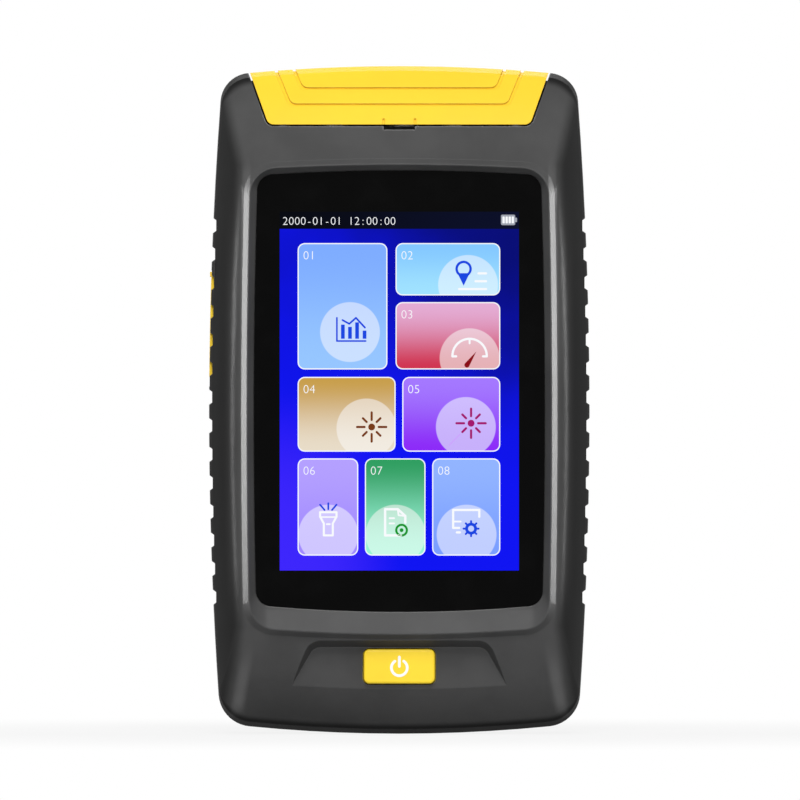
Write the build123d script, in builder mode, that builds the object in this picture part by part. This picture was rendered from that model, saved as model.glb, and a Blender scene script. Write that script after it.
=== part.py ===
from build123d import *
import math
import os
from typing import NamedTuple

os.makedirs("parts", exist_ok=True)

# Handheld optical time domain reflectometer, upright, screen towards -Y, +Z up.
# The origin is at the middle of the base. Lengths are in millimetres.

# Display: the active area, and the frame of its module round it
screen_width = 48.96
screen_height = 73.44
module_side = 2.85
module_foot = 5.2
module_head = 5.9
module_thickness = 3.2

# Touch lens: black border round the active area
lens_side = 5.27
lens_foot = 8.4
lens_head = 8.4
lens_thickness = 1.1
lens_corner = 3.2
lens_taper_low = 0.5
lens_taper_high = 0.8
lens_rise_low = 1.4
lens_rise_high = 1.0
lens_gap = 0.12
lens_sink = 1.8
adhesive_thickness = 0.2
bond_gap = 0.05
adhesive_set = 0.3
module_corner = 0.8

# Casing: what is left outside the lens, and the depth over all
side_margin = 9.3
chin = 25.2
forehead = 21.6
depth = 36.0
wall = 2.2
display_wall = 3.9
widest_height = 66.0
side_taper_low = 2.35
side_taper_high = 2.75
base_rise = 2.15
top_rise = 1.95
base_corner = 7.0
top_corner = 6.2

# Raised rim round the lens: inner slope, crest and outer band
rim_slope = 1.35
rim_chin_slope = 4.5
rim_head_slope = 1.2
rim_land = 0.2
rim_band = 1.05
rim_height = 1.2
rim_corner = 5.6
rim_corner_growth = 0.9
rim_taper_high = 0.7

# Front and back bevels: how far each section is set in, and how deep it lies
shoulder_depth = 5.5
shoulder_side = 2.95
shoulder_low = 7.3
shoulder_high = 8.4
shoulder_taper_low = 1.6
shoulder_taper_high = 2.0
shoulder_rise_low = 1.9
shoulder_rise_high = 1.6
edge_depth = 11.0
edge_side = 0.15
edge_end = 1.0
band_front_depth = 13.5
band_back_depth = 10.0
back_edge_depth = 3.5
back_edge_set = 2.0
back_face_set = 5.5
least_corner = 0.8

# Share of the wall by which the inside of each section lies further back
shoulder_follow = 0.6
edge_follow = 0.3
back_follow = 0.5

# Grip notches on both sides
notch_count = 14
notch_pitch = 5.87
notch_mouth = 3.1
notch_floor = 2.2
notch_depth = 0.65
notch_lowest = 28.0
notch_back_run = 4.0
groove_width = 0.5
groove_depth = 0.4

# Power key in its sloping recess
recess_floor_depth = 4.4
recess_top = 17.9
recess_half = 17.5
recess_lean = 0.57
recess_corner = 2.6
recess_draft = 24.0
key_width = 14.6
key_height = 7.1
key_level = 13.95
key_corner = 1.2
key_gap = 0.2
key_proud = 1.1
key_lip = 1.1
key_flange = 1.0
key_travel = 0.5
key_floor_wall = 1.6
seat_gap = 0.05
stem_radius = 1.8
recess_foot = 5.0
key_wall_side = 3.0
key_wall_end = 2.6
key_pocket_side = 2.4
key_pocket_end = 2.0
key_edge = 0.45

# Dust cover over the ports
cover_drop = 12.14
cover_half = 26.8
cover_lean = 0.357
cover_corner = 1.6
cover_wall = 1.8
cover_gap = 0.35
line_width = 0.45
line_depth = 0.35
outer_line_drop = 8.29
outer_line_half = 22.6
inner_line_drop = 4.94
inner_line_half = 20.2
line_lean = 0.41
line_corner = 1.6
tab_width = 6.45
tab_height = 1.2
tab_scoop = 0.7
tab_back = -11.0
tab_past = 0.1

# Cover hinge
hinge_y = 13.0
hinge_drop = 3.54
barrel_radius = 1.4
hinge_pin_radius = 0.6
running_gap = 0.05
swing_gap = 0.45
lug_place = 13.0
lug_width = 8.0
lug_side_gap = 0.25
slot_radial_gap = 0.3
slot_reach = 2.7
land_drop = 0.3
hinge_half = 20.0
hinge_bar_end = 3.0
hinge_pin_gap = 0.5
lug_root = 1.0
lug_rise = 0.6
pin_chamfer = 0.15

# Port bay below the cover
bay_wall = 1.8
port_window_width = 45.0
port_window_depth = 17.5
port_y = 1.0
panel_width = 52.0
panel_depth = 21.0
panel_thickness = 1.8
panel_screw_x = 24.2
panel_screw_y = 6.5
panel_corner = 1.5
panel_head_radius = 1.7
panel_head_height = 1.1

# Optical ports
ferrule_radius = 1.25
otdr_x = -13.5
meter_x = 1.0
fault_x = 11.5
lamp_x = 19.3
flange_size = 12.5
flange_thickness = 1.6
adapter_radius = 4.0
adapter_bore = 3.15
adapter_rise = 8.6
adapter_foot = 9.5
holder_radius = 2.2
sleeve_radius = 1.6
sleeve_length = 5.8
sleeve_sink = 1.2
ceramic_gap = 0.02
stub_radius = 1.4
boot_radius = 2.4
boot_length = 5.0
meter_radius = 4.3
meter_rise = 7.2
fault_radius = 3.3
fault_rise = 6.6
lamp_radius = 2.4
fit_gap = 0.05
flange_corner = 1.0
adapter_edge = 0.2
meter_flange = 1.2
meter_neck = 0.6
meter_wall = 1.0
meter_edge = 0.5
can_well = 4.0
fault_flange = 1.0
fault_neck = 0.4
fault_wall = 1.5
fault_edge = 0.4
laser_neck = 0.4
laser_length = 16.0
laser_head = 3.0
lamp_shoulder = 0.6
lamp_rise = 2.4
lamp_dome = 2.5
led_half = 1.75
led_depth_half = 1.4
led_height = 2.0

# Charging port and its flap on the left side
flap_low = 72.2
flap_height = 22.6
flap_front = -6.0
flap_width = 10.0
flap_thickness = 3.0
flap_gap = 0.3
flap_lip = 0.3
flap_lip_side = 2.5
flap_lip_height = 1.0
flap_swing = 110.0
trunnion_radius = 0.6
trunnion_length = 1.2
pad_thickness = 1.7
pad_sink = 2.0
charging_level = 84.5
charging_length = 8.94
charging_height = 3.26
charging_depth = 7.35
charging_wall = 0.3
charging_back = 1.4
round_end = 0.01
tongue_sink = 0.8
tongue_root = 1.0
tongue_half = 0.35
tongue_reach = 3.3

# Main board and what stands on it
board_front = -4.6
board_thickness = 1.6
board_half = 33.0
board_low = 8.0
board_high = 111.0
board_notch = 8.6
board_screw_x = 30.5
board_screw_low = 26.0
board_screw_high = 104.0
board_boss_radius = 2.2
board_screw_radius = 1.0
board_screw_depth = 5.0
board_head_radius = 1.8
board_head_height = 1.2
board_hole_gap = 0.1
board_corner = 1.5
switch_size = 6.0
switch_height = 3.4
plunger_radius = 1.6
plunger_height = 0.9
switch_edge = 0.5
buzzer_x = -19.0
buzzer_z = 21.0
buzzer_radius = 4.5
buzzer_height = 3.0
buzzer_hole_radius = 0.7
buzzer_hole_depth = 1.5

# Battery
battery_width = 47.0
battery_height = 56.0
battery_thickness = 12.0
battery_low = 17.0
battery_front = 0.5
battery_corner = 2.0
battery_edge = 2.0
strip_inset = 8.0
strip_half = 14.0
strip_reach = 4.0

# Optical module and launch fibre
optics_width = 32.0
optics_height = 32.0
optics_thickness = 11.0
optics_left = -27.0
optics_low = 76.0
tray_radius = 15.0
tray_base = 1.0
tray_lip = 1.0
tray_depth = 3.2
coil_radius = 11.8
coil_thickness = 1.1
coil_gap = 0.4
optics_edge = 1.0

# Folding stand on the back
stand_half = 17.0
stand_top = 74.0
stand_length = 50.0
stand_thickness = 2.2
stand_gap = 0.3
stand_pin_radius = 0.6
stand_pin_hold = 2.5
stand_backing = 1.9
stand_scoop = 7.0
stand_scoop_reach = 3.0
stand_corner = 3.0
stand_panel_side = 10.0
stand_panel_end = 16.0
stand_panel_drop = 2.0
stand_panel_depth = 0.6
stand_pin_gap = 0.2

# Screws that join the two halves
screw_x = 28.0
screw_low = 12.5
screw_high = 116.5
screw_radius = 1.25
screw_head_radius = 2.2
screw_head_height = 1.5
screw_seat_y = 9.0
screw_length = 15.0
boss_radius = 3.2
screw_gap = 0.05
screw_clearance = 0.2
screw_end_gap = 0.5
boss_root = 0.8
boss_set = 1.0
socket_radius = 1.0
socket_sides = 6
socket_depth = 0.8

# How far the cutting shapes run past the faces that they open
cut_past = 1.0
cut_short = 0.5
cut_far = 2.0
cut_end = 5.0

# Places that follow from the sizes above
lens_half = screen_width / 2 + lens_side
lens_low = chin
lens_high = chin + lens_foot + screen_height + lens_head
half_width = lens_half + side_margin
height = lens_high + forehead
front_y = -depth / 2
back_y = depth / 2
lens_front = front_y + lens_sink
lens_back = lens_front + lens_thickness
lens_seat = lens_back + adhesive_thickness
screen_low = chin + lens_foot
cover_base = height - cover_drop
bay_floor = cover_base - cover_gap
panel_top = bay_floor - bay_wall
panel_bottom = panel_top - panel_thickness
hinge_z = height - hinge_drop
cover_rear = hinge_y - barrel_radius - swing_gap
board_back = board_front + board_thickness
recess_floor = front_y + recess_floor_depth
flange_top = panel_top + flange_thickness


class Section(NamedTuple):
    """One outline of the casing, seen from the front, and where it lies in depth."""
    y: float
    half: float
    low: float
    high: float
    low_taper: float
    high_taper: float
    low_rise: float
    high_rise: float
    low_corner: float
    high_corner: float


lens_edge = Section(lens_front, lens_half, lens_low, lens_high,
                    lens_taper_low, lens_taper_high, lens_rise_low, lens_rise_high, lens_corner, lens_corner)
crest = Section(front_y, lens_half + rim_slope, lens_low - rim_chin_slope, lens_high + rim_head_slope,
                lens_taper_low, rim_taper_high, lens_rise_low, lens_rise_high, rim_corner, rim_corner)
rim_foot = Section(front_y + rim_height, crest.half + rim_land + rim_band, crest.low - rim_land - rim_band,
                   crest.high + rim_land + rim_band,
                   lens_taper_low, rim_taper_high, lens_rise_low, lens_rise_high,
                   rim_corner + rim_corner_growth, rim_corner + rim_corner_growth)
shoulder = Section(front_y + shoulder_depth, half_width - shoulder_side, shoulder_low, height - shoulder_high,
                   shoulder_taper_low, shoulder_taper_high, shoulder_rise_low, shoulder_rise_high,
                   base_corner, base_corner)
edge = Section(front_y + edge_depth, half_width - edge_side, edge_end, height - edge_end,
               side_taper_low, side_taper_high, base_rise, top_rise, base_corner, top_corner)
band_front = Section(front_y + band_front_depth, half_width, 0.0, height,
                     side_taper_low, side_taper_high, base_rise, top_rise, base_corner, top_corner)
band_back = band_front._replace(y=back_y - band_back_depth)
back_edge = Section(back_y - back_edge_depth, half_width - back_edge_set, back_edge_set, height - back_edge_set,
                    side_taper_low, side_taper_high, base_rise, top_rise, base_corner, top_corner)
back_face = Section(back_y, half_width - back_face_set, back_face_set, height - back_face_set,
                    side_taper_low, side_taper_high, base_rise, top_rise, base_corner, top_corner)


def plane_at(y):
    """Upright plane that faces the front, with its local x and y along X and Z."""
    return Plane.XZ.offset(-y)


def outline(section, inset=0.0):
    """Bowed sides and crowned ends with round corners, set in by a wall."""
    half = section.half - inset
    low = section.low + inset
    high = section.high - inset
    low_half = half - section.low_taper
    high_half = half - section.high_taper
    low_side = low + section.low_rise
    high_side = high - section.high_rise
    with BuildSketch(mode=Mode.PRIVATE) as face:
        with BuildLine():
            ThreePointArc((-low_half, low_side), (0, low), (low_half, low_side))
            ThreePointArc((low_half, low_side), (half, widest_height), (high_half, high_side))
            ThreePointArc((high_half, high_side), (0, high), (-high_half, high_side))
            ThreePointArc((-high_half, high_side), (-half, widest_height), (-low_half, low_side))
        make_face()
        fillet(face.vertices().group_by(Axis.Y)[0], max(section.low_corner - inset, least_corner))
        fillet(face.vertices().group_by(Axis.Y)[-1], max(section.high_corner - inset, least_corner))
    return face.sketch


def loft_through(sections, inset, shifts, ruled=False):
    """Solid through a run of sections, each moved back by its own shift."""
    with BuildPart(mode=Mode.PRIVATE) as run:
        for section, shift in zip(sections, shifts):
            with BuildSketch(plane_at(section.y + shift)):
                add(outline(section, inset))
        loft(ruled=ruled)
    return run.part


def casing(inset, front_wall, back_wall):
    """Whole closed form of the casing without the rim, set in by a wall."""
    shoulder_shift = shoulder_follow * inset
    edge_shift = edge_follow * inset
    with BuildPart(mode=Mode.PRIVATE) as form:
        add(loft_through((edge, shoulder, rim_foot), inset, (edge_shift, shoulder_shift, front_wall)))
        add(loft_through((band_front, edge), inset, (0, edge_shift), ruled=True))
        with BuildSketch(plane_at(band_back.y)):
            add(outline(band_front, inset))
        extrude(amount=band_back.y - band_front.y)
        add(loft_through((band_back, back_edge, back_face), inset, (0, -back_follow * back_wall, -back_wall)))
    return form.part


def cover_face(grow, top):
    """Front outline of the dust cover: a straight base and sides that lean out."""
    base = cover_base - grow
    slant = math.hypot(1.0, cover_lean)
    base_half = cover_half + grow * (slant - cover_lean)
    top_half = base_half + cover_lean * (top - base)
    with BuildSketch(mode=Mode.PRIVATE) as face:
        with BuildLine():
            Polyline((-base_half, base), (base_half, base), (top_half, top), (-top_half, top), close=True)
        make_face()
        fillet(face.vertices().group_by(Axis.Y)[0], cover_corner + grow)
    return face.sketch


def line_face(base, half, top, inset):
    """Face inside one of the stepped outlines on the dust cover."""
    low = base + inset
    low_half = half - inset
    top_half = low_half + line_lean * (top - low)
    with BuildSketch(mode=Mode.PRIVATE) as face:
        with BuildLine():
            Polyline((-low_half, low), (low_half, low), (top_half, top), (-top_half, top), close=True)
        make_face()
        fillet(face.vertices().group_by(Axis.Y)[0], line_corner)
    return face.sketch


def slab(face, y_low, y_high):
    """Front face pushed through the casing between two depths."""
    with BuildPart(mode=Mode.PRIVATE) as block:
        with BuildSketch(plane_at(y_high)):
            add(face)
        extrude(amount=y_high - y_low)
    return block.part


def x_rod(radius, y, z, x_low, x_high):
    """Round bar along X."""
    with BuildPart(mode=Mode.PRIVATE) as rod:
        with BuildSketch(Plane.YZ.offset(x_low)):
            with Locations((y, z)):
                Circle(radius)
        extrude(amount=x_high - x_low)
    return rod.part


def block(x, y, z):
    """Plain box between the low and high value of each pair, for cuts and pads."""
    with BuildPart(mode=Mode.PRIVATE) as box:
        with BuildSketch(Plane.XY.offset(z[0])):
            with Locations(((x[0] + x[1]) / 2, (y[0] + y[1]) / 2)):
                Rectangle(x[1] - x[0], y[1] - y[0])
        extrude(amount=z[1] - z[0])
    return box.part


def pegs(points, radius, y_low, y_high):
    """Round bosses or holes along Y at points of the front view."""
    with BuildPart(mode=Mode.PRIVATE) as group:
        with BuildSketch(plane_at(y_high)):
            with Locations(*points):
                Circle(radius)
        extrude(amount=y_high - y_low)
    return group.part


def finish(piece, name):
    """Label a piece and write it to its own file."""
    piece.part.label = name
    export_step(piece.part, f"parts/{name}.step")


# Common form of the two housings: outer skin with its rim, less the inside.
# The tub for the ports stays solid inside the skin.
outer_form = casing(0.0, 0.0, 0.0)
cover_inside = casing(cover_wall, cover_wall, cover_wall)
past_top = height + cut_end
past_front = front_y - cut_far
past_back = back_y + cut_far
tub = slab(cover_face(cover_gap + bay_wall, past_top), past_front, past_back)

with BuildPart(mode=Mode.PRIVATE) as inside:
    add(casing(wall, display_wall, wall))
    add(tub, mode=Mode.SUBTRACT)

with BuildPart(mode=Mode.PRIVATE) as rim:
    with BuildSketch(plane_at(rim_foot.y)):
        add(outline(rim_foot))
    with BuildSketch(plane_at(front_y)):
        add(outline(crest, -rim_land))
    loft(ruled=True)

with BuildPart(mode=Mode.PRIVATE) as lens_pocket:
    with BuildSketch(plane_at(lens_front)):
        add(outline(lens_edge, -lens_gap))
    with BuildSketch(plane_at(front_y)):
        add(outline(crest))
    loft(ruled=True)
    with BuildSketch(plane_at(lens_seat)):
        add(outline(lens_edge, -lens_gap))
    extrude(amount=lens_seat - lens_front)

# One grip notch is a prism along Y whose floor follows the bowed side
side_rise = side_taper_high
side_reach = height - top_rise - widest_height
side_radius = (side_reach**2 + side_rise**2) / (2 * side_rise)
with BuildPart(mode=Mode.PRIVATE) as notches:
    for side in (-1, 1):
        for step in range(notch_count):
            level = notch_lowest + step * notch_pitch
            drop = side_radius - math.sqrt(side_radius**2 - (level - widest_height) ** 2)
            skin = half_width - drop
            with BuildSketch(plane_at(band_back.y + notch_back_run)):
                with BuildLine():
                    Polyline(
                        (side * (skin + cut_past), level - notch_mouth / 2),
                        (side * skin, level - notch_mouth / 2),
                        (side * (skin - notch_depth), level - notch_floor / 2),
                        (side * (skin - notch_depth), level + notch_floor / 2),
                        (side * skin, level + notch_mouth / 2),
                        (side * (skin + cut_past), level + notch_mouth / 2),
                        close=True,
                    )
                make_face()
            extrude(amount=band_back.y + notch_back_run - front_y - shoulder_depth)

with BuildPart(mode=Mode.PRIVATE) as parting_groove:
    with BuildSketch(plane_at(groove_width / 2)):
        add(outline(band_front, -cut_past))
        add(outline(band_front, groove_depth), mode=Mode.SUBTRACT)
    extrude(amount=groove_width)

# Recess of the flap: a full round at its hinge end, and a pad inside that carries the charging port
flap_axis_x = -half_width + flap_thickness / 2
flap_axis_z = flap_low + flap_thickness / 2
flap_high = flap_low + flap_height
flap_back = flap_front + flap_width
flap_inner = -half_width + flap_thickness
flap_floor = flap_inner + flap_gap
recess_radius = flap_thickness / 2 + flap_gap


def flap_profile(grow):
    """Side view of the flap between its skin and its inner face, round at the hinge."""
    with BuildSketch(mode=Mode.PRIVATE) as face:
        with Locations((flap_axis_x, flap_axis_z)):
            Circle(flap_thickness / 2 + grow)
        reach = half_width + cut_past + flap_inner + grow
        with Locations((flap_inner + grow - reach / 2, (flap_axis_z + flap_high + grow) / 2)):
            Rectangle(reach, flap_high + grow - flap_axis_z)
    return face.sketch


# Below the hinge the recess falls away along the outer face of the flap at its full swing
open_lean = math.radians(flap_swing - 90.0)
lip_foot_x = flap_axis_x + recess_radius * math.sin(open_lean)
lip_foot_z = flap_axis_z - recess_radius * math.cos(open_lean)
lip_end_x = -half_width - cut_past
lip_end_z = lip_foot_z - (lip_foot_x - lip_end_x) * math.tan(open_lean)
with BuildPart(mode=Mode.PRIVATE) as flap_recess:
    add(slab(flap_profile(flap_gap), flap_front - flap_gap, flap_back + flap_gap))
    with BuildSketch(plane_at(flap_back + flap_gap)):
        with BuildLine():
            Polyline((flap_axis_x, flap_axis_z), (lip_foot_x, lip_foot_z), (lip_end_x, lip_end_z),
                     (lip_end_x, flap_axis_z), close=True)
        make_face()
    extrude(amount=flap_width + 2 * flap_gap)
flap_pad = block((flap_inner - pad_sink, flap_floor + pad_thickness),
                 (flap_front - wall, flap_back + wall), (flap_low - wall, flap_high + wall))
charging_y = board_back + charging_height / 2
charging_slot = block((flap_floor - cut_past, flap_floor + pad_thickness + cut_past),
                      (charging_y - charging_height / 2 - fit_gap, charging_y + charging_height / 2 + fit_gap),
                      (charging_level - charging_length / 2 - fit_gap, charging_level + charging_length / 2 + fit_gap))
trunnion_ends = (flap_front - trunnion_length - flap_gap, flap_back + trunnion_length + flap_gap)
trunnion_hole = pegs([(flap_axis_x, flap_axis_z)], trunnion_radius + running_gap, *trunnion_ends)

bay = slab(cover_face(cover_gap, past_top), past_front, hinge_y - barrel_radius)

with BuildPart(mode=Mode.PRIVATE) as blank:
    add(outer_form)
    add(rim.part)
    add(inside.part, mode=Mode.SUBTRACT)
    add(flap_pad)
    add(lens_pocket.part, mode=Mode.SUBTRACT)
    add(notches.part, mode=Mode.SUBTRACT)
    add(parting_groove.part, mode=Mode.SUBTRACT)
    add(flap_recess.part, mode=Mode.SUBTRACT)
    add(charging_slot, mode=Mode.SUBTRACT)
    add(trunnion_hole, mode=Mode.SUBTRACT)
    add(bay, mode=Mode.SUBTRACT)
    add(block((-port_window_width / 2, port_window_width / 2),
              (-port_window_depth / 2, port_window_depth / 2), (panel_top - cut_past, bay_floor + cut_past)),
        mode=Mode.SUBTRACT)

# Front housing: window for the display, key recess and guide, bosses for board and casing screws
module_low = screen_low - module_foot
module_high = screen_low + screen_height + module_head
module_half = screen_width / 2 + module_side
screw_points = [(x, z) for x in (-screw_x, screw_x) for z in (screw_low, screw_high)]
board_points = [(x, z) for x in (-board_screw_x, board_screw_x) for z in (board_screw_low, board_screw_high)]
panel_points = [(x, y) for x in (-panel_screw_x, panel_screw_x) for y in (-panel_screw_y, panel_screw_y)]

with BuildPart(mode=Mode.PRIVATE) as front_bosses:
    add(pegs(screw_points, boss_radius, lens_seat + boss_root, 0.0))
    add(pegs(board_points, board_boss_radius, lens_seat + boss_root, board_front))
    add(block((-key_width / 2 - key_wall_side, key_width / 2 + key_wall_side),
              (recess_floor, recess_floor + key_floor_wall),
              (key_level - key_height / 2 - key_wall_end, key_level + key_height / 2 + key_wall_end)))
    add(outer_form, mode=Mode.INTERSECT)

with BuildPart(mode=Mode.PRIVATE) as key_recess:
    with BuildSketch(plane_at(recess_floor)):
        fall = recess_top - recess_foot
        with BuildLine():
            Polyline((-recess_half - recess_lean * fall, recess_top - fall),
                     (recess_half + recess_lean * fall, recess_top - fall),
                     (recess_half, recess_top), (-recess_half, recess_top), close=True)
        make_face()
        fillet(vertices().group_by(Axis.Z)[-1], recess_corner)
    extrude(amount=recess_floor_depth, taper=-recess_draft)

with BuildPart() as front_housing:
    add(blank.part)
    split(bisect_by=Plane.XZ, keep=Keep.TOP)
    add(front_bosses.part)
    add(key_recess.part, mode=Mode.SUBTRACT)
    add(block((-module_half - lens_gap, module_half + lens_gap), (lens_seat - cut_short, lens_seat + display_wall),
              (module_low - lens_gap, module_high + lens_gap)), mode=Mode.SUBTRACT)
    with BuildSketch(plane_at(recess_floor + key_floor_wall + cut_past)):
        with Locations((0, key_level)):
            RectangleRounded(key_width + 2 * key_gap, key_height + 2 * key_gap, key_corner + key_gap)
    extrude(amount=key_floor_wall + 2 * cut_past, mode=Mode.SUBTRACT)
    add(block((-key_width / 2 - key_pocket_side, key_width / 2 + key_pocket_side),
              (recess_floor + key_floor_wall, board_front),
              (key_level - key_height / 2 - key_pocket_end, key_level + key_height / 2 + key_pocket_end)),
        mode=Mode.SUBTRACT)
    add(pegs(screw_points, screw_radius + screw_gap, screw_seat_y - screw_length - screw_end_gap, 0.0),
        mode=Mode.SUBTRACT)
    add(pegs(board_points, board_screw_radius + screw_gap, board_front - board_screw_depth - screw_end_gap,
             board_front), mode=Mode.SUBTRACT)
    with BuildSketch(Plane.XY.offset(panel_top - cut_short)):
        with Locations(*[point for point in panel_points if point[1] < 0]):
            Circle(board_screw_radius + screw_gap)
    extrude(amount=bay_wall + 2 * cut_short, mode=Mode.SUBTRACT)
    add(block((-tab_width / 2, tab_width / 2), (past_front, tab_back),
              (bay_floor - tab_scoop, bay_floor + tab_past)),
        mode=Mode.SUBTRACT)
finish(front_housing, "front_housing")

# Rear housing: hinge bar behind the port bay, stand recess, deep screw wells
stand_floor = back_y - stand_thickness - stand_gap
stand_axis_y = back_y - stand_thickness / 2
stand_radius = stand_thickness / 2
stand_low = stand_top + stand_radius - stand_length


def stand_profile(grow):
    """Side view of the stand plate, round at its pivot, as a sketch in y and z."""
    with BuildSketch(mode=Mode.PRIVATE) as face:
        with Locations((stand_axis_y, stand_top)):
            Circle(stand_radius + grow)
        with Locations((back_y - stand_radius + grow / 2, (stand_low - grow + stand_top) / 2)):
            Rectangle(2 * stand_radius + 3 * grow, stand_top - stand_low + grow)
    return face.sketch


with BuildPart(mode=Mode.PRIVATE) as stand_recess:
    with BuildSketch(Plane.YZ.offset(-stand_half - stand_gap)):
        add(stand_profile(stand_gap))
    extrude(amount=2 * (stand_half + stand_gap))
    add(block((-stand_scoop, stand_scoop), (stand_floor, past_back), (stand_low - stand_scoop_reach, stand_low)))
    add(block((-stand_half - stand_gap, stand_half + stand_gap), (stand_axis_y, past_back),
              (stand_low, stand_top + stand_radius + stand_gap)))

with BuildPart(mode=Mode.PRIVATE) as rear_bosses:
    add(pegs(screw_points, boss_radius, 0.0, back_y - boss_set))
    add(block((-stand_half - wall - stand_pin_hold, stand_half + wall + stand_pin_hold),
              (stand_floor - stand_backing, back_y),
              (stand_low - stand_scoop_reach - wall, stand_top + stand_radius + wall)))
    add(outer_form, mode=Mode.INTERSECT)

bay_width = (-cover_half - cover_lean * cover_drop - cover_gap, cover_half + cover_lean * cover_drop + cover_gap)
with BuildPart(mode=Mode.PRIVATE) as hinge_relief:
    add(block(bay_width, (hinge_y - barrel_radius - cut_short, hinge_y), (hinge_z, past_top)))
    add(block(bay_width, (hinge_y - cut_short, back_y), (hinge_z + barrel_radius - land_drop, past_top)))

with BuildPart(mode=Mode.PRIVATE) as hinge_slots:
    for side in (-1, 1):
        slot_x = (side * lug_place - lug_width / 2 - lug_side_gap, side * lug_place + lug_width / 2 + lug_side_gap)
        add(x_rod(barrel_radius + slot_radial_gap, hinge_y, hinge_z, *slot_x))
        add(block(slot_x, (hinge_y - barrel_radius - cut_past, hinge_y),
                  (hinge_z - barrel_radius - slot_radial_gap, past_top)))
        add(block(slot_x, (hinge_y, hinge_y + slot_reach), (hinge_z - slot_radial_gap, past_top)))

with BuildPart() as rear_housing:
    add(blank.part)
    split(bisect_by=Plane.XZ, keep=Keep.BOTTOM)
    add(rear_bosses.part)
    add(hinge_relief.part, mode=Mode.SUBTRACT)
    add(x_rod(barrel_radius, hinge_y, hinge_z, -hinge_half - hinge_bar_end, hinge_half + hinge_bar_end))
    add(hinge_slots.part, mode=Mode.SUBTRACT)
    add(x_rod(hinge_pin_radius + running_gap, hinge_y, hinge_z, -hinge_half - hinge_pin_gap,
              hinge_half + hinge_pin_gap), mode=Mode.SUBTRACT)
    add(stand_recess.part, mode=Mode.SUBTRACT)
    add(x_rod(stand_pin_radius + running_gap, stand_axis_y, stand_top,
              -stand_half - stand_pin_hold, stand_half + stand_pin_hold), mode=Mode.SUBTRACT)
    add(pegs(screw_points, screw_radius + screw_clearance, -cut_past, screw_seat_y + cut_past),
        mode=Mode.SUBTRACT)
    add(pegs(screw_points, screw_head_radius + screw_clearance, screw_seat_y, past_back), mode=Mode.SUBTRACT)
    with BuildSketch(Plane.XY.offset(panel_top - cut_short)):
        with Locations(*[point for point in panel_points if point[1] > 0]):
            Circle(board_screw_radius + screw_gap)
    extrude(amount=bay_wall + 2 * cut_short, mode=Mode.SUBTRACT)
finish(rear_housing, "rear_housing")

# Touch lens, the frame of tape under it and the display module bonded to its back
with BuildPart() as touch_lens:
    with BuildSketch(plane_at(lens_back)):
        add(outline(lens_edge))
    extrude(amount=lens_thickness)
finish(touch_lens, "touch_lens")

with BuildPart() as lens_adhesive:
    with BuildSketch(plane_at(lens_seat)):
        add(outline(lens_edge, adhesive_set))
        with Locations((0, (module_low + module_high) / 2)):
            Rectangle(2 * module_half + 4 * lens_gap, module_high - module_low + 4 * lens_gap, mode=Mode.SUBTRACT)
    extrude(amount=adhesive_thickness)
finish(lens_adhesive, "lens_adhesive")

with BuildPart() as lcd_module:
    with BuildSketch(plane_at(lens_back + bond_gap + module_thickness)):
        with Locations((0, (module_low + module_high) / 2)):
            RectangleRounded(2 * module_half, module_high - module_low, module_corner)
    extrude(amount=module_thickness)
finish(lcd_module, "lcd_module")

# Power key: a rounded cap through the recess floor, a flange behind it and a stem towards the switch
flange_front = recess_floor + key_floor_wall + seat_gap
switch_tip = board_front - switch_height - plunger_height
with BuildPart() as power_key:
    with BuildSketch(plane_at(flange_front)):
        with Locations((0, key_level)):
            RectangleRounded(key_width, key_height, key_corner)
    extrude(amount=flange_front - recess_floor + key_proud)
    cap_rim = power_key.faces().sort_by(Axis.Y)[0].edges()
    fillet(cap_rim, key_edge)
    with BuildSketch(plane_at(flange_front + key_flange)):
        with Locations((0, key_level)):
            RectangleRounded(key_width + 2 * key_lip, key_height + 2 * key_lip, key_corner)
    extrude(amount=key_flange)
    with BuildSketch(plane_at(switch_tip - key_travel - 2 * seat_gap)):
        with Locations((0, key_level)):
            Circle(stem_radius)
    extrude(amount=switch_tip - key_travel - 2 * seat_gap - flange_front)
finish(power_key, "power_key")

with BuildPart() as key_switch:
    with BuildSketch(plane_at(board_front)):
        with Locations((0, key_level)):
            Rectangle(switch_size, switch_size)
    extrude(amount=switch_height)
    fillet(key_switch.edges().filter_by(Axis.Y), switch_edge)
    with BuildSketch(plane_at(board_front - switch_height)):
        with Locations((0, key_level)):
            Circle(plunger_radius)
    extrude(amount=plunger_height)
finish(key_switch, "key_switch")

# Dust cover: a skin cut from the casing's own form, two fine stepped lines, a finger tab and two hinge lugs
line_floor = casing(line_depth, line_depth, line_depth)


def stepped_line(drop, half):
    """Fine groove along one stepped outline, from the front slope over the top end."""
    base = height - drop
    with BuildPart(mode=Mode.PRIVATE) as line:
        add(slab(line_face(base, half, past_top, 0.0), past_front, cover_rear - cut_far))
        add(slab(line_face(base, half, past_top + cut_past, line_width), past_front - cut_past, cover_rear),
            mode=Mode.SUBTRACT)
        add(line_floor, mode=Mode.SUBTRACT)
    return line.part


with BuildPart(mode=Mode.PRIVATE) as tab_lines:
    for side in (-1, 1):
        tab_edge = side * tab_width / 2
        add(block((tab_edge - line_width / 2, tab_edge + line_width / 2), (past_front, band_front.y),
                  (cover_base - cut_past, cover_base + tab_height)))
    add(line_floor, mode=Mode.SUBTRACT)


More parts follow.
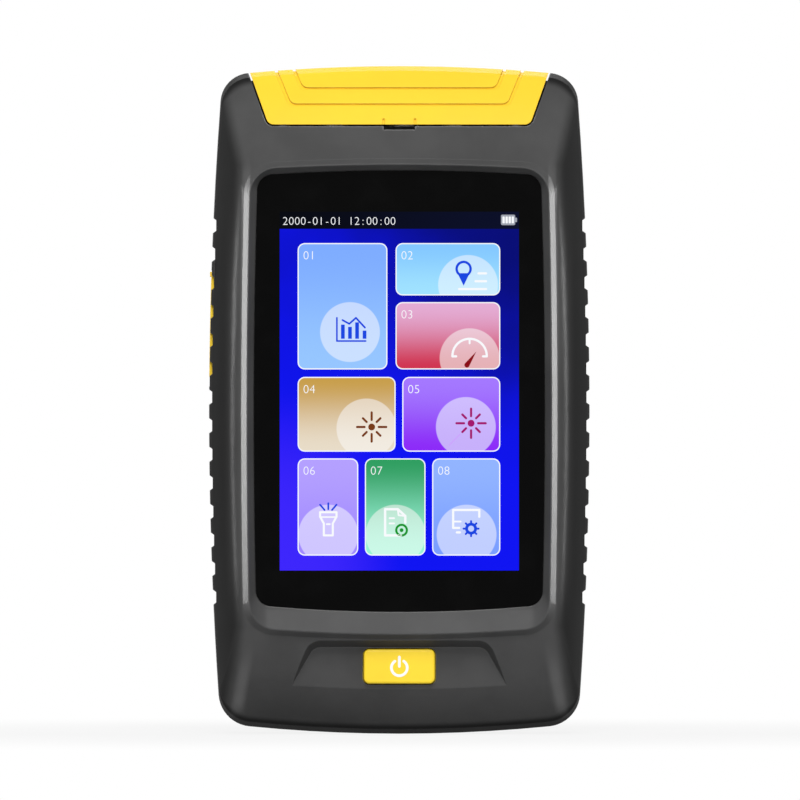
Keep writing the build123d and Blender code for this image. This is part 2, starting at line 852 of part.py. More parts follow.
with BuildPart(mode=Mode.PRIVATE) as lugs:
    for side in (-1, 1):
        low_x = side * lug_place - lug_width / 2
        add(x_rod(barrel_radius, hinge_y, hinge_z, low_x, low_x + lug_width))
        with BuildSketch(Plane.YZ.offset(low_x)):
            with BuildLine():
                Polyline((cover_rear - lug_root, hinge_z + barrel_radius + lug_rise),
                         (hinge_y, hinge_z + barrel_radius), (hinge_y, hinge_z),
                         (cover_rear - lug_root, hinge_z + lug_rise), close=True)
            make_face()
        extrude(amount=lug_width)

with BuildPart() as top_cover:
    add(slab(cover_face(0.0, past_top), past_front, cover_rear))
    add(outer_form, mode=Mode.INTERSECT)
    add(cover_inside, mode=Mode.SUBTRACT)
    add(stepped_line(outer_line_drop, outer_line_half), mode=Mode.SUBTRACT)
    add(stepped_line(inner_line_drop, inner_line_half), mode=Mode.SUBTRACT)
    add(tab_lines.part, mode=Mode.SUBTRACT)
    add(lugs.part)
    add(x_rod(hinge_pin_radius + running_gap, hinge_y, hinge_z, -hinge_half, hinge_half), mode=Mode.SUBTRACT)
finish(top_cover, "top_cover")

with BuildPart() as cover_hinge_pin:
    add(x_rod(hinge_pin_radius, hinge_y, hinge_z, -hinge_half, hinge_half))
    chamfer(cover_hinge_pin.edges(), pin_chamfer)
finish(cover_hinge_pin, "cover_hinge_pin")

# Port plate under the bay floor, with a hole for each port
with BuildPart() as port_panel:
    with BuildSketch(Plane.XY.offset(panel_bottom)):
        RectangleRounded(panel_width, panel_depth, panel_corner)
        with Locations((otdr_x, port_y)):
            Circle(adapter_radius, mode=Mode.SUBTRACT)
        with Locations((meter_x, port_y)):
            Circle(meter_radius, mode=Mode.SUBTRACT)
        with Locations((fault_x, port_y)):
            Circle(fault_radius, mode=Mode.SUBTRACT)
        with Locations((lamp_x, port_y)):
            Circle(lamp_radius + fit_gap, mode=Mode.SUBTRACT)
        with Locations(*panel_points):
            Circle(board_screw_radius + screw_gap, mode=Mode.SUBTRACT)
    extrude(amount=panel_thickness)
finish(port_panel, "port_panel")

with BuildPart() as panel_screws:
    with BuildSketch(Plane.XY.offset(panel_bottom)):
        with Locations(*panel_points):
            Circle(board_screw_radius)
    extrude(amount=bay_floor - panel_bottom)
    with BuildSketch(Plane.XY.offset(bay_floor)):
        with Locations(*panel_points):
            Circle(panel_head_radius)
    extrude(amount=panel_head_height)
finish(panel_screws, "panel_screws")


def ring_stack(x, y, layers):
    """Turned part on a vertical axis: each layer has its low and high level, its radius and its bore."""
    with BuildPart(mode=Mode.PRIVATE) as stack:
        for low, high, radius, bore in layers:
            with BuildSketch(Plane.XY.offset(low)):
                with Locations((x, y)):
                    Circle(radius)
                    if bore > 0:
                        Circle(bore, mode=Mode.SUBTRACT)
            extrude(amount=high - low)
    return stack.part


# Reflectometer port: shell round a holder, whose ceramic sleeve seats on the wider stub of the inner ferrule
otdr_top = flange_top + adapter_rise
sleeve_top = otdr_top - sleeve_sink
sleeve_low = sleeve_top - sleeve_length
otdr_foot = panel_top - adapter_foot
with BuildPart() as otdr_adapter:
    with BuildSketch(Plane.XY.offset(panel_top)):
        with Locations((otdr_x, port_y)):
            RectangleRounded(flange_size, flange_size, flange_corner)
            Circle(holder_radius, mode=Mode.SUBTRACT)
    extrude(amount=flange_thickness)
    add(ring_stack(otdr_x, port_y, (
        (flange_top, otdr_top, adapter_radius, adapter_bore),
        (panel_top, sleeve_low, holder_radius, stub_radius + ceramic_gap),
        (sleeve_low, sleeve_top, holder_radius, sleeve_radius + ceramic_gap),
        (panel_top, flange_top, adapter_bore, stub_radius + ceramic_gap),
        (otdr_foot, panel_top, adapter_radius - fit_gap, stub_radius + ceramic_gap),
    )))
    fillet(otdr_adapter.edges().filter_by(GeomType.CIRCLE).group_by(Axis.Z)[-1], adapter_edge)
finish(otdr_adapter, "otdr_adapter")

with BuildPart() as otdr_sleeve:
    add(ring_stack(otdr_x, port_y, ((sleeve_low, sleeve_top, sleeve_radius, ferrule_radius),)))
finish(otdr_sleeve, "otdr_sleeve")

with BuildPart() as otdr_ferrule:
    add(ring_stack(otdr_x, port_y, ((otdr_foot, sleeve_low, stub_radius, 0.0),
                                    (otdr_foot - boot_length, otdr_foot, boot_radius, 0.0))))
finish(otdr_ferrule, "otdr_ferrule")

# Power meter port with the detector behind it
meter_top = flange_top + meter_rise
can_radius = 2.7
can_brim = 0.35
can_height = 3.6
can_base = 0.8
can_top = panel_top - meter_wall
with BuildPart() as power_meter_adapter:
    with BuildSketch(Plane.XY.offset(panel_top)):
        with Locations((meter_x, port_y)):
            Circle(meter_radius + meter_flange)
            Circle(ferrule_radius, mode=Mode.SUBTRACT)
    extrude(amount=flange_thickness)
    add(ring_stack(meter_x, port_y, (
        (flange_top, meter_top, meter_radius - meter_neck, ferrule_radius),
        (can_top, panel_top, meter_radius - fit_gap, ferrule_radius),
        (can_top - can_well, can_top, meter_radius - fit_gap, can_radius + fit_gap),
    )))
    meter_circles = power_meter_adapter.edges().filter_by(GeomType.CIRCLE).group_by(Axis.Z)[-1]
    fillet(meter_circles.sort_by(SortBy.RADIUS)[-1], meter_edge)
finish(power_meter_adapter, "power_meter_adapter")

with BuildPart() as photodiode:
    add(ring_stack(meter_x, port_y, ((can_top - can_height, can_top, can_radius - can_brim, 0.0),
                                     (can_top - can_height - can_base, can_top - can_height, can_radius, 0.0))))
finish(photodiode, "photodiode")

# Red light port and the laser module below it
fault_top = flange_top + fault_rise
laser_top = panel_top - fault_wall
with BuildPart() as fault_locator_port:
    with BuildSketch(Plane.XY.offset(panel_top)):
        with Locations((fault_x, port_y)):
            Circle(fault_radius + fault_flange)
            Circle(ferrule_radius, mode=Mode.SUBTRACT)
    extrude(amount=flange_thickness)
    add(ring_stack(fault_x, port_y, (
        (flange_top, fault_top, fault_radius - fault_neck, ferrule_radius),
        (laser_top, panel_top, fault_radius - fit_gap, ferrule_radius),
    )))
    fault_circles = fault_locator_port.edges().filter_by(GeomType.CIRCLE).group_by(Axis.Z)[-1]
    fillet(fault_circles.sort_by(SortBy.RADIUS)[-1], fault_edge)
finish(fault_locator_port, "fault_locator_port")

with BuildPart() as fault_locator_laser:
    add(ring_stack(fault_x, port_y, ((laser_top - laser_length, laser_top, fault_radius - laser_neck, 0.0),
                                     (laser_top - laser_head, laser_top, fault_radius - fit_gap, 0.0))))
finish(fault_locator_laser, "fault_locator_laser")

# Work lamp: a domed lens over its light source
with BuildPart() as lamp_lens:
    with BuildSketch(Plane.XZ.offset(-port_y)):
        with BuildLine():
            Polyline((lamp_x, panel_bottom), (lamp_x + lamp_radius, panel_bottom),
                     (lamp_x + lamp_radius, flange_top + lamp_shoulder))
            RadiusArc((lamp_x + lamp_radius, flange_top + lamp_shoulder), (lamp_x, flange_top + lamp_rise),
                      -lamp_dome)
            Line((lamp_x, flange_top + lamp_rise), (lamp_x, panel_bottom))
        make_face()
    revolve(axis=Axis((lamp_x, port_y, 0), (0, 0, 1)))
finish(lamp_lens, "lamp_lens")

with BuildPart() as lamp_led:
    add(block((lamp_x - led_half, lamp_x + led_half), (port_y - led_depth_half, port_y + led_depth_half),
              (panel_bottom - led_height, panel_bottom)))
finish(lamp_led, "lamp_led")

# Main board with clear corners round the lower casing bosses
with BuildPart() as main_board:
    with BuildSketch(plane_at(board_back)):
        with Locations((0, (board_low + board_high) / 2)):
            RectangleRounded(2 * board_half, board_high - board_low, board_corner)
        for side in (-1, 1):
            with Locations((side * board_half, board_low)):
                Rectangle(2 * board_notch, 2 * board_notch, mode=Mode.SUBTRACT)
        with Locations(*board_points):
            Circle(board_screw_radius + board_hole_gap, mode=Mode.SUBTRACT)
    extrude(amount=board_thickness)
finish(main_board, "main_board")

with BuildPart() as board_screws:
    with BuildSketch(plane_at(board_back)):
        with Locations(*board_points):
            Circle(board_screw_radius)
    extrude(amount=board_thickness + board_screw_depth)
    with BuildSketch(plane_at(board_back + board_head_height)):
        with Locations(*board_points):
            Circle(board_head_radius)
    extrude(amount=board_head_height)
finish(board_screws, "board_screws")

with BuildPart() as housing_screws:
    with BuildSketch(plane_at(screw_seat_y)):
        with Locations(*screw_points):
            Circle(screw_radius)
    extrude(amount=screw_length)
    with BuildSketch(plane_at(screw_seat_y + screw_head_height)):
        with Locations(*screw_points):
            Circle(screw_head_radius)
    extrude(amount=screw_head_height)
    with BuildSketch(plane_at(screw_seat_y + screw_head_height)):
        with Locations(*screw_points):
            RegularPolygon(socket_radius, socket_sides)
    extrude(amount=socket_depth, mode=Mode.SUBTRACT)
finish(housing_screws, "housing_screws")

with BuildPart() as buzzer:
    with BuildSketch(plane_at(board_front)):
        with Locations((buzzer_x, buzzer_z)):
            Circle(buzzer_radius)
    extrude(amount=buzzer_height)
    with BuildSketch(plane_at(board_front - buzzer_height)):
        with Locations((buzzer_x, buzzer_z)):
            Circle(buzzer_hole_radius)
    extrude(amount=-buzzer_hole_depth, mode=Mode.SUBTRACT)
finish(buzzer, "buzzer")

# Charging receptacle: an oval shell with its contact tongue
with BuildPart() as charging_port:
    with BuildSketch(Plane.YZ.offset(flap_floor)):
        with Locations((charging_y, charging_level)):
            RectangleRounded(charging_height, charging_length, charging_height / 2 - round_end)
            RectangleRounded(charging_height - 2 * charging_wall, charging_length - 2 * charging_wall,
                             charging_height / 2 - charging_wall - round_end, mode=Mode.SUBTRACT)
    extrude(amount=charging_depth)
    with BuildSketch(Plane.YZ.offset(flap_floor + charging_depth - charging_back)):
        with Locations((charging_y, charging_level)):
            RectangleRounded(charging_height, charging_length, charging_height / 2 - round_end)
    extrude(amount=charging_back)
    add(block((flap_floor + tongue_sink, flap_floor + charging_depth - tongue_root),
              (charging_y - tongue_half, charging_y + tongue_half),
              (charging_level - tongue_reach, charging_level + tongue_reach)))
finish(charging_port, "charging_port")

# Rubber flap: follows the skin of the casing, turns on two moulded trunnions
with BuildPart() as port_flap:
    add(slab(flap_profile(0.0), flap_front, flap_back))
    add(outer_form, mode=Mode.INTERSECT)
    add(pegs([(flap_axis_x, flap_axis_z)], trunnion_radius, flap_front - trunnion_length,
             flap_back + trunnion_length))
    lip_skin = half_width - side_radius + math.sqrt(side_radius**2 - (flap_high - widest_height) ** 2)
    add(block((-lip_skin - flap_lip, -lip_skin + cut_past), (flap_front + flap_lip_side, flap_back - flap_lip_side),
              (flap_high - flap_lip_height, flap_high)))
finish(port_flap, "port_flap")

# Battery pack between two pairs of foam strips
battery_back = battery_front + battery_thickness
with BuildPart() as battery_pack:
    with BuildSketch(plane_at(battery_back)):
        with Locations((0, battery_low + battery_height / 2)):
            RectangleRounded(battery_width, battery_height, battery_corner)
    extrude(amount=battery_thickness)
    fillet(battery_pack.edges().filter_by(Axis.Z), battery_edge)
finish(battery_pack, "battery_pack")

with BuildPart() as battery_pads:
    for level in (battery_low + strip_inset, battery_low + battery_height - strip_inset):
        strip = (level - strip_reach, level + strip_reach)
        add(block((-strip_half, strip_half), (board_back, battery_front), strip))
        add(block((-strip_half, strip_half), (battery_back, stand_floor - stand_backing), strip))
finish(battery_pads, "battery_pads")

# Optical module in its shield box, with the launch fibre wound in a tray on its back
optics_back = board_back + optics_thickness
tray_point = (optics_left + optics_width / 2, optics_low + optics_height / 2)
with BuildPart() as optical_module:
    add(block((optics_left, optics_left + optics_width), (board_back, optics_back),
              (optics_low, optics_low + optics_height)))
    fillet(optical_module.edges().filter_by(Axis.Y), optics_edge)
finish(optical_module, "optical_module")

with BuildPart() as fibre_tray:
    with BuildSketch(plane_at(optics_back + tray_depth)):
        with Locations(tray_point):
            Circle(tray_radius)
            Circle(tray_radius - tray_lip, mode=Mode.SUBTRACT)
            Circle(coil_radius - coil_thickness - coil_gap)
            Circle(coil_radius - coil_thickness - coil_gap - tray_lip, mode=Mode.SUBTRACT)
    extrude(amount=tray_depth)
    with BuildSketch(plane_at(optics_back + tray_base)):
        with Locations(tray_point):
            Circle(tray_radius)
    extrude(amount=tray_base)
finish(fibre_tray, "fibre_tray")

with BuildPart() as fibre_coil:
    with BuildSketch(Plane.XY.offset(tray_point[1])):
        with Locations((tray_point[0] + coil_radius, optics_back + tray_base + coil_thickness)):
            Circle(coil_thickness)
    revolve(axis=Axis((tray_point[0], optics_back, tray_point[1]), (0, 1, 0)))
finish(fibre_coil, "fibre_coil")

# Folding stand: a plate with a full round pivot end and a sunk panel
with BuildPart() as kickstand:
    with BuildSketch(Plane.YZ.offset(-stand_half)):
        add(stand_profile(0.0))
    extrude(amount=2 * stand_half)
    fillet(kickstand.edges().filter_by(Axis.Y).group_by(Axis.Z)[0], stand_corner)
    with BuildSketch(plane_at(back_y)):
        with Locations((0, stand_low + stand_length / 2 - stand_panel_drop)):
            RectangleRounded(2 * stand_half - stand_panel_side, stand_length - stand_panel_end, stand_corner)
    extrude(amount=stand_panel_depth, mode=Mode.SUBTRACT)
    add(x_rod(stand_pin_radius + running_gap, stand_axis_y, stand_top,
              -stand_half - cut_past, stand_half + cut_past), mode=Mode.SUBTRACT)
finish(kickstand, "kickstand")

with BuildPart() as kickstand_pin:
    add(x_rod(stand_pin_radius, stand_axis_y, stand_top, -stand_half - stand_pin_hold + stand_pin_gap,
              stand_half + stand_pin_hold - stand_pin_gap))
    chamfer(kickstand_pin.edges(), pin_chamfer)
finish(kickstand_pin, "kickstand_pin")
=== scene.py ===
import math

import bpy
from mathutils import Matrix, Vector


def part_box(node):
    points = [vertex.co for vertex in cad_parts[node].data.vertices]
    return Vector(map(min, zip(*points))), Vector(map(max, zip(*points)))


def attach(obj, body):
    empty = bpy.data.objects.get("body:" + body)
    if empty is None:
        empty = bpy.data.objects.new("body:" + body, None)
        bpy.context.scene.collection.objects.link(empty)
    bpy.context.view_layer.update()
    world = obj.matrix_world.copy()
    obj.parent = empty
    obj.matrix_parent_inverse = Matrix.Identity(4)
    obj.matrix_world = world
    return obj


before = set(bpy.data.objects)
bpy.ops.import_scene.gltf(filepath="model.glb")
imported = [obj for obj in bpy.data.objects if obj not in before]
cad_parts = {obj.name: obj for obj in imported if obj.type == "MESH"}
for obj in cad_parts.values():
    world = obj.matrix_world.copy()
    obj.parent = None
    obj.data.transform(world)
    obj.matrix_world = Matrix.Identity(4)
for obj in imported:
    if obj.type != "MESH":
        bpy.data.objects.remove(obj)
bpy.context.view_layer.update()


# The casing is moulded in two halves from black filled plastic with a fine spark-eroded texture.
# Four screws from the back pull the halves together on a groove that runs round the middle.
# Handling leaves its edges a little paler and smoother than its faces. Its flanks and the part behind the front
# bevel carry painted shade.
class Link:
    """One output in a finish's node tree. Sums on it add Math nodes to the same tree."""

    def __init__(self, tree, socket):
        self.tree = tree
        self.socket = socket

    def node(self, kind, settings=None, sockets=None, out=0):
        """Add a node, set it up, fill or wire its sockets, and give back one of its outputs."""
        made = self.tree.nodes.new(kind)
        for name, value in (settings or {}).items():
            setattr(made, name, value)
        for key, value in (sockets or {}).items():
            if isinstance(value, Link):
                self.tree.links.new(value.socket, made.inputs[key])
            else:
                made.inputs[key].default_value = value
        return Link(self.tree, made.outputs[out])

    def sum(self, operation, first, second=0.0):
        return self.node("ShaderNodeMath", {"operation": operation}, {0: first, 1: second})

    def __add__(self, other):
        return self.sum("ADD", self, other)

    def __radd__(self, other):
        return self.sum("ADD", other, self)

    def __sub__(self, other):
        return self.sum("SUBTRACT", self, other)

    def __rsub__(self, other):
        return self.sum("SUBTRACT", other, self)

    def __mul__(self, other):
        return self.sum("MULTIPLY", self, other)

    def __rmul__(self, other):
        return self.sum("MULTIPLY", other, self)

    def __pow__(self, other):
        return self.sum("POWER", self, other)

    def between(self, low, high):
        """0 below one value, 1 above the other, and smooth between them."""
        return self.node("ShaderNodeMapRange", {"interpolation_type": "SMOOTHSTEP"},
                         {"Value": self, "From Min": low, "From Max": high})

    def band(self, low, full, fade, high):
        """1 between the two inner values, 0 past the two outer ones."""
        return self.between(low, full) * (1.0 - self.between(fade, high))

    def larger(self, other):
        """The larger of two values at each point."""
        return self.sum("MAXIMUM", self, other)

    def axis(self, index):
        """One coordinate of a vector."""
        return self.node("ShaderNodeSeparateXYZ", None, {"Vector": self}, out=index)

    def noise(self, scale, detail=2.0, roughness=0.5):
        """Soft random mottling over the object's own coordinates."""
        return self.node("ShaderNodeTexNoise", None,
                         {"Vector": self, "Scale": scale, "Detail": detail, "Roughness": roughness})

    def mix(self, first, second):
        """Colour between two others, with this value as the share of the second."""
        return self.node("ShaderNodeMix", {"data_type": "RGBA"},
                         {"Factor": self, 6: first, 7: second}, out=2)


def finish(name, paint):
    """New material. paint gets the object's own coordinates and returns what each shader socket takes."""
    material = bpy.data.materials.new(name)
    material.use_nodes = True
    tree = material.node_tree
    tree.nodes.clear()
    coordinates = tree.nodes.new("ShaderNodeTexCoord")
    shader = tree.nodes.new("ShaderNodeBsdfPrincipled")
    output = tree.nodes.new("ShaderNodeOutputMaterial")
    tree.links.new(shader.outputs["BSDF"], output.inputs["Surface"])
    for key, value in paint(Link(tree, coordinates.outputs["Object"])).items():
        if isinstance(value, Link):
            tree.links.new(value.socket, shader.inputs[key])
        else:
            shader.inputs[key].default_value = value
    return material


def soft_edges(place, radius):
    """The surface direction with its sharp edges rounded off, and a mask that is 1 along those edges."""
    rounded = place.node("ShaderNodeBevel", {"samples": 6}, {"Radius": radius})
    true = place.node("ShaderNodeNewGeometry", out=1)
    agree = place.node("ShaderNodeVectorMath", {"operation": "DOT_PRODUCT"}, {0: rounded, 1: true}, out=1)
    return rounded, (1.0 - agree).between(0.01, 0.16)


mottle_scale = 55.0
wear_scale = 900.0
wear_share = 0.6


def moulded(name, colour, worn, roughness, grain, grain_depth, specular, edge=0.0003, mottle=0.12,
            polish=None, painted_shade=None):
    """Plastic moulding: fine texture from the tool, slow drift of shade, edges rubbed a little paler.

    polish says from the coordinates and the mask of edges how smooth hands have rubbed the surface.
    The last argument, a colour and a mask, lays painted shade over the plastic's own colour.
    """
    def paint(place):
        rounded, edges = soft_edges(place, edge)
        texture = place.noise(1.0 / grain, 3.0, 0.6)
        shade = place.noise(mottle_scale, 4.0, 0.55).between(0.3, 0.7)
        rubbed = edges * place.noise(wear_scale, 3.0).between(0.35, 0.75)
        body = shade.mix([c * (1 - mottle) for c in colour] + [1], [c * (1 + mottle) for c in colour] + [1])
        # Painted shade: the darker colour is laid over the plastic where the mask is.
        if painted_shade:
            body = painted_shade[1](place).mix(body, [*painted_shade[0], 1])
        textured = place.node("ShaderNodeBump", None,
                              {"Strength": 0.35, "Distance": grain_depth, "Height": texture, "Normal": rounded})
        gloss = {"Coat Weight": polish(place, edges), "Coat Roughness": 0.22} if polish else {}
        return {"Base Color": (rubbed * wear_share).mix(body, [*worn, 1]),
                "Roughness": roughness + 0.08 * shade - 0.1 * rubbed,
                "Normal": textured, "Specular IOR Level": specular} | gloss
    return finish(name, paint)


def dress(node, material):
    """Give a node of the frame its finish."""
    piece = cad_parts[node]
    piece.material_slots[0].material = material


# Where the rim of the screen and its creases lie, from the box of the glass
lens_low, lens_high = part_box("touch_lens")
rim_side = 0.0014
rim_head = 0.0012
rim_chin = 0.003
chin_slope = 0.0049
rim_bow = 0.0005
crease_top = 0.25
crease_foot = 0.21
rim_half = lens_high.x + rim_side
rim_top = lens_high.z + rim_head
rim_foot = lens_low.z - rim_chin
chin_foot = lens_low.z - chin_slope
rim_middle = (lens_low.z + lens_high.z) / 2


def past_rim(place):
    """How far a point lies outside the rim and the creases that run from its corners to the outer corners."""
    across = place.axis(0).sum("ABSOLUTE", place.axis(0))
    up = place.axis(2)
    above = (up - rim_top).larger(0.0)
    below = (rim_foot - up).larger(0.0)
    bowed = across - rim_half + rim_bow / (rim_top - rim_middle) ** 2 * (up - rim_middle) ** 2
    return bowed - crease_top * above - crease_foot * below


# Painted shade on the casing: its flanks and the part behind the front bevel are darkened in colour for the
# shade they lie in.
shaded_rear_depth = -0.0080
painted_shade_share = 0.94
rear_shade_relief = 0.4


def painted_flank_shade(place):
    """Mask of painted shade on the flanks and behind the front bevel, weaker further back."""
    depth = place.axis(1)
    beside = past_rim(place).between(0.0002, 0.0036) * (1.0 - depth.between(shaded_rear_depth, shaded_rear_depth + 0.0014))
    behind = depth.between(shaded_rear_depth - 0.0007, shaded_rear_depth + 0.0007)
    relief = rear_shade_relief * depth.between(-0.0055, -0.001)
    return beside.larger(behind * (1.0 - relief)) * painted_shade_share


# How smooth hands have rubbed each place
edge_rub = 0.8
rim_rub = 0.85
flank_rub = 0.4
chin_rub = 0.11
rear_rub = 0.5
foot_start = 0.003
foot_end = 0.007


def handled(place, edges):
    """Hands rub the rim, the flanks, the slope below the glass, the lower corners and the edges smooth."""
    up = place.axis(2)
    out = past_rim(place)
    rim = up.band(rim_foot, rim_foot + 0.007, rim_top - 0.006, rim_top + 0.003)
    rim = out.band(-0.0004, 0.0, 0.0012, 0.0016) * rim
    flank = up.band(rim_foot - 0.001, lens_low.z + 0.012, rim_top - 0.03, rim_top)
    flank = out.band(0.001, 0.0014, 0.0014, 0.0052) * flank
    corner = out.band(-0.0024, -0.0008, -0.0004, 0.0014) * up.band(foot_start, foot_end, 0.011, 0.02)
    slope = up.band(chin_foot, chin_foot + 0.0008, lens_low.z, lens_low.z + 0.001)
    slope = (1.0 - out.between(-0.003, -0.0004)) * slope
    ahead = 1.0 - rear_rub * place.axis(1).between(shaded_rear_depth, shaded_rear_depth + 0.002)
    rubbed = edges * up.between(foot_start, foot_end) * ahead * edge_rub
    return rubbed.larger(flank_rub * flank + rim_rub * rim).larger(chin_rub * slope).larger(corner)


# The near-black second colour is painted shade on the flanks and behind the front bevel.
casing_plastic = moulded("casing_plastic", (0.062, 0.062, 0.062), (0.07, 0.07, 0.07), roughness=0.45,
                         grain=0.00032, grain_depth=0.00004, specular=0.03, edge=0.0005, polish=handled,
                         painted_shade=((0.009, 0.009, 0.009), painted_flank_shade))
for housing in ("front_housing", "rear_housing"):
    dress(housing, casing_plastic)


# The display sits behind one sheet of black-bordered glass, bonded to a ledge with a frame of tape.
# The glass is polished and coated, so it stays nearly black when it is seen square on.
wipe_scale = 160.0


def paint_glass(place):
    wiped = place.noise(wipe_scale, 3.0).between(0.4, 0.8)
    return {"Base Color": wiped.mix([0.0016, 0.0016, 0.0016, 1], [0.0024, 0.0024, 0.0024, 1]),
            "Roughness": 0.05 + 0.05 * wiped, "Specular IOR Level": 0.03}


def paint_steel(place):
    streaks = place.node("ShaderNodeMapping", None, {"Vector": place, "Scale": (60.0, 60.0, 2600.0)})
    brushed = streaks.noise(1.0, 3.0)
    return {"Base Color": brushed.mix([0.48, 0.48, 0.49, 1], [0.62, 0.62, 0.62, 1]), "Metallic": 1.0,
            "Roughness": 0.26 + 0.14 * brushed}


steel = finish("steel", paint_steel)
tape = moulded("black_tape", (0.02, 0.02, 0.02), (0.03, 0.03, 0.03), roughness=0.6, grain=0.0004,
               grain_depth=0.00003, specular=0.3)
dress("touch_lens", finish("lens_glass", paint_glass))
dress("lens_adhesive", tape)
dress("lcd_module", steel)


# The picture on the display: 320 by 480 dots, a dark bar at the top and eight coloured tiles below it.
# Each film of the picture is a thin plate laid on the one below, lit from within as a display is.
dots_across = 320
dots_down = 480
picture_width = 0.04896
picture_top = 0.10704
film = 0.00002
glass_y = lens_low.y
dot = picture_width / dots_across
picture_left = -picture_width / 2


def spot(across, down, layer):
    """Point of the picture, in dots from its top left corner, on one of its films."""
    return Vector((picture_left + across * dot, glass_y - layer * film, picture_top - down * dot))


def screen_paint(name, colours):
    """Glowing film: colours is a function from coordinates to the shown colour."""
    def paint(place):
        return {"Base Color": [0.0, 0.0, 0.0, 1], "Roughness": 0.06 + 0.03 * place.noise(wipe_scale, 3.0),
                "Specular IOR Level": 0.03, "Emission Color": colours(place), "Emission Strength": 1.0}
    return finish(name, paint)


def srgb(red, green, blue):
    """Colour given as a screen designer gives it, from 0 to 255."""
    shares = [c / 255 for c in (red, green, blue)]
    return [c / 12.92 if c <= 0.04045 else ((c + 0.055) / 1.055) ** 2.4 for c in shares] + [1]


def plain_screen(name, colour):
    """Film of one colour, hardly uneven."""
    dimmer = [0.97 * c for c in colour[:3]] + [1]
    return screen_paint(name, lambda place: place.noise(300.0, 1.0).mix(colour, dimmer))


def start_edit():
    """Open the active piece with all of it selected."""
    bpy.ops.object.mode_set(mode="EDIT")
    bpy.ops.mesh.select_all(action="SELECT")


def end_edit():
    """Weld the mesh, turn its faces outwards and close it."""
    bpy.ops.mesh.select_all(action="SELECT")
    bpy.ops.mesh.remove_doubles(threshold=0.0000005)
    bpy.ops.mesh.normals_make_consistent(inside=False)
    bpy.ops.object.mode_set(mode="OBJECT")


def settle(piece, name, body, slot, *materials):
    """Name a finished piece, give it its materials and fix it to its body."""
    bpy.ops.object.select_all(action="DESELECT")
    piece.select_set(True)
    bpy.context.view_layer.objects.active = piece
    bpy.ops.object.transform_apply(location=True, rotation=True, scale=True)
    piece.name = name
    if not piece.data.materials:
        for material in materials:
            piece.data.materials.append(material)
    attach(piece, body)


def upright_plane(centre, width, height, turn=0.0):
    """Plane that faces the front, at its size and place."""
    bpy.ops.object.select_all(action="DESELECT")
    bpy.ops.mesh.primitive_plane_add(size=1.0, location=centre, rotation=(math.pi / 2, -turn, 0))
    piece = bpy.context.object
    piece.scale = (width, height, 1)
    bpy.ops.object.transform_apply(location=True, rotation=True, scale=True)
    return piece


def thicken(depth):
    """Give the selected flat faces a thickness towards the front, and close the mesh."""
    bpy.ops.mesh.select_all(action="SELECT")
    bpy.ops.mesh.extrude_region_move(TRANSFORM_OT_translate={"value": (0, -depth, 0)})
    end_edit()


def plate(left, top, right, bottom, layer, corner=0.0, turn=0.0, depth=film):
    """Rounded rectangle of film, in dots."""
    centre = spot((left + right) / 2, (top + bottom) / 2, layer)
    piece = upright_plane(centre, (right - left) * dot, (bottom - top) * dot, turn)
    start_edit()
    if corner:
        bpy.ops.mesh.bevel(offset=corner * dot, segments=6, affect="VERTICES")
    thicken(depth)
    return piece


def bar(start, end, width, layer, depth=film):
    """Stroke with round ends between two spots, in dots."""
    run = math.hypot(end[0] - start[0], end[1] - start[1])
    turn = math.atan2(start[1] - end[1], end[0] - start[0])
    middle_x = (start[0] + end[0]) / 2
    middle_y = (start[1] + end[1]) / 2
    return plate(middle_x - (run + width) / 2, middle_y - width / 2, middle_x + (run + width) / 2,
                 middle_y + width / 2, layer, 0.49 * width, turn, depth)


def disc(centre, radius, layer, sides=40, depth=film):
    """Round film, in dots."""
    bpy.ops.object.select_all(action="DESELECT")
    bpy.ops.mesh.primitive_circle_add(vertices=sides, radius=radius * dot, fill_type="NGON",
                                      location=spot(*centre, layer), rotation=(math.pi / 2, 0, 0))
    bpy.ops.object.transform_apply(location=True, rotation=True, scale=True)
    start_edit()
    thicken(depth)
    return bpy.context.object


def ring(centre, radius, width, layer, sides=48, keep=None, depth=film):
    """Round stroke, in dots: keep says from a direction in degrees, counted from the top, what stays."""
    middle = spot(*centre, layer)
    bpy.ops.object.select_all(action="DESELECT")
    bpy.ops.mesh.primitive_circle_add(vertices=sides, radius=radius * dot, fill_type="NGON",
                                      location=middle, rotation=(math.pi / 2, 0, 0))
    bpy.ops.object.transform_apply(location=True, rotation=True, scale=True)
    start_edit()
    bpy.ops.mesh.inset(thickness=width * dot)
    bpy.ops.mesh.delete(type="FACE")
    bpy.ops.object.mode_set(mode="OBJECT")
    piece = bpy.context.object
    for face in piece.data.polygons:
        away = face.center - middle
        direction = math.degrees(math.atan2(away.x, away.z))
        face.select = keep is not None and not keep(direction)
    bpy.ops.object.mode_set(mode="EDIT")
    bpy.ops.mesh.delete(type="FACE")
    thicken(depth)
    return piece


def join(pieces):
    """One piece out of several strokes."""
    bpy.ops.object.select_all(action="DESELECT")
    for piece in pieces:
        piece.select_set(True)
    bpy.context.view_layer.objects.active = pieces[0]
    bpy.ops.object.join()
    return pieces[0]


def outline_of(points, width, layer):
    """Strokes through a run of spots."""
    return [bar(a, b, width, layer) for a, b in zip(points, points[1:])]


def deep_blue(place):
    """Background of the picture: violet at the lower left, dark at the top right, with slow clouds."""
    across = place.axis(0).between(picture_left, -picture_left)
    up = place.axis(2).between(picture_top - dots_down * dot, picture_top)
    cloud = place.noise(42.0, 3.0).between(0.3, 0.7)
    dark = (up * (0.45 + 0.55 * across) + 0.18 * cloud - 0.08).between(0.15, 1.0)
    violet = ((1.0 - up) * (1.0 - across)).between(0.45, 1.0)
    return violet.mix(dark.mix(srgb(10, 16, 242), srgb(2, 8, 116)), srgb(60, 36, 252))


